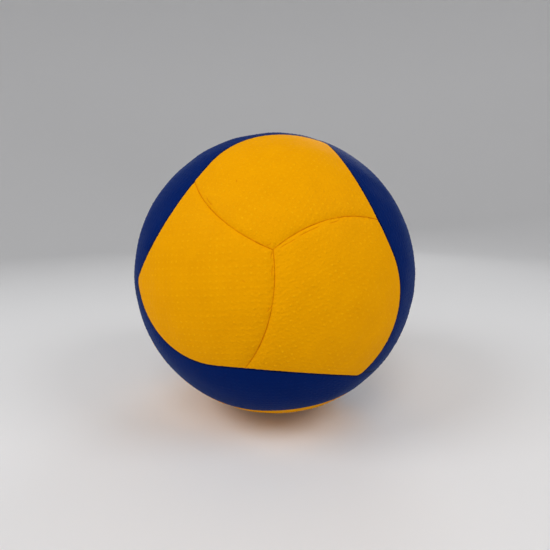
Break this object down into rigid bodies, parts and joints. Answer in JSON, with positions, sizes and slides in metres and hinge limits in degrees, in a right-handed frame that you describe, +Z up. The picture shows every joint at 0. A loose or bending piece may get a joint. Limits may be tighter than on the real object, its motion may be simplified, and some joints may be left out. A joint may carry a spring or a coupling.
{
  "type": "volleyball",
  "caption": "Inflated volleyball with swirled lobe panels and curved strip panels over foam, carcass, wound layer and bladder, and an inflation valve.",
  "frame": {"origin": "the centre of the ball", "axes": "+Z up and away from the cradle that the ball sits in, -Y towards the viewer of the pictured side, +X to that viewer's right"},
  "size_m": [0.21, 0.21, 0.21],
  "materials": {
    "lobe_skin": "matte pimpled synthetic leather, golden yellow",
    "strip_skin": "matte pimpled synthetic leather, dark blue",
    "foam": "closed-cell sponge backing, off-white",
    "carcass_rubber": "vulcanised rubber, black",
    "winding_nylon": "wound nylon thread, off-white",
    "bladder_rubber": "butyl rubber, black",
    "valve_rubber": "moulded rubber, black"
  },
  "bodies": {
    "root": {"butyl_bladder": "bladder_rubber", "lobe_foam_bottom_1": "foam", "lobe_foam_bottom_2": "foam", "lobe_foam_bottom_3": "foam", "lobe_foam_front_1": "foam", "lobe_foam_front_2": "foam", "lobe_foam_front_3": "foam", "lobe_foam_left_1": "foam", "lobe_foam_left_2": "foam", "lobe_foam_left_3": "foam", "lobe_foam_right_1": "foam", "lobe_foam_right_2": "foam", "lobe_foam_right_3": "foam", "lobe_skin_bottom_1": "lobe_skin", "lobe_skin_bottom_2": "lobe_skin", "lobe_skin_bottom_3": "lobe_skin", "lobe_skin_front_1": "lobe_skin", "lobe_skin_front_2": "lobe_skin", "lobe_skin_front_3": "lobe_skin", "lobe_skin_left_1": "lobe_skin", "lobe_skin_left_2": "lobe_skin", "lobe_skin_left_3": "lobe_skin", "lobe_skin_right_1": "lobe_skin", "lobe_skin_right_2": "lobe_skin", "lobe_skin_right_3": "lobe_skin", "nylon_winding": "winding_nylon", "rubber_carcass": "carcass_rubber", "strip_foam_front_bottom": "foam", "strip_foam_front_left": "foam", "strip_foam_front_right": "foam", "strip_foam_left_bottom": "foam", "strip_foam_right_bottom": "foam", "strip_foam_right_left": "foam", "strip_skin_front_bottom": "strip_skin", "strip_skin_front_left": "strip_skin", "strip_skin_front_right": "strip_skin", "strip_skin_left_bottom": "strip_skin", "strip_skin_right_bottom": "strip_skin", "strip_skin_right_left": "strip_skin", "valve_core": "valve_rubber", "valve_housing": "valve_rubber"}
  },
  "joints": []
}
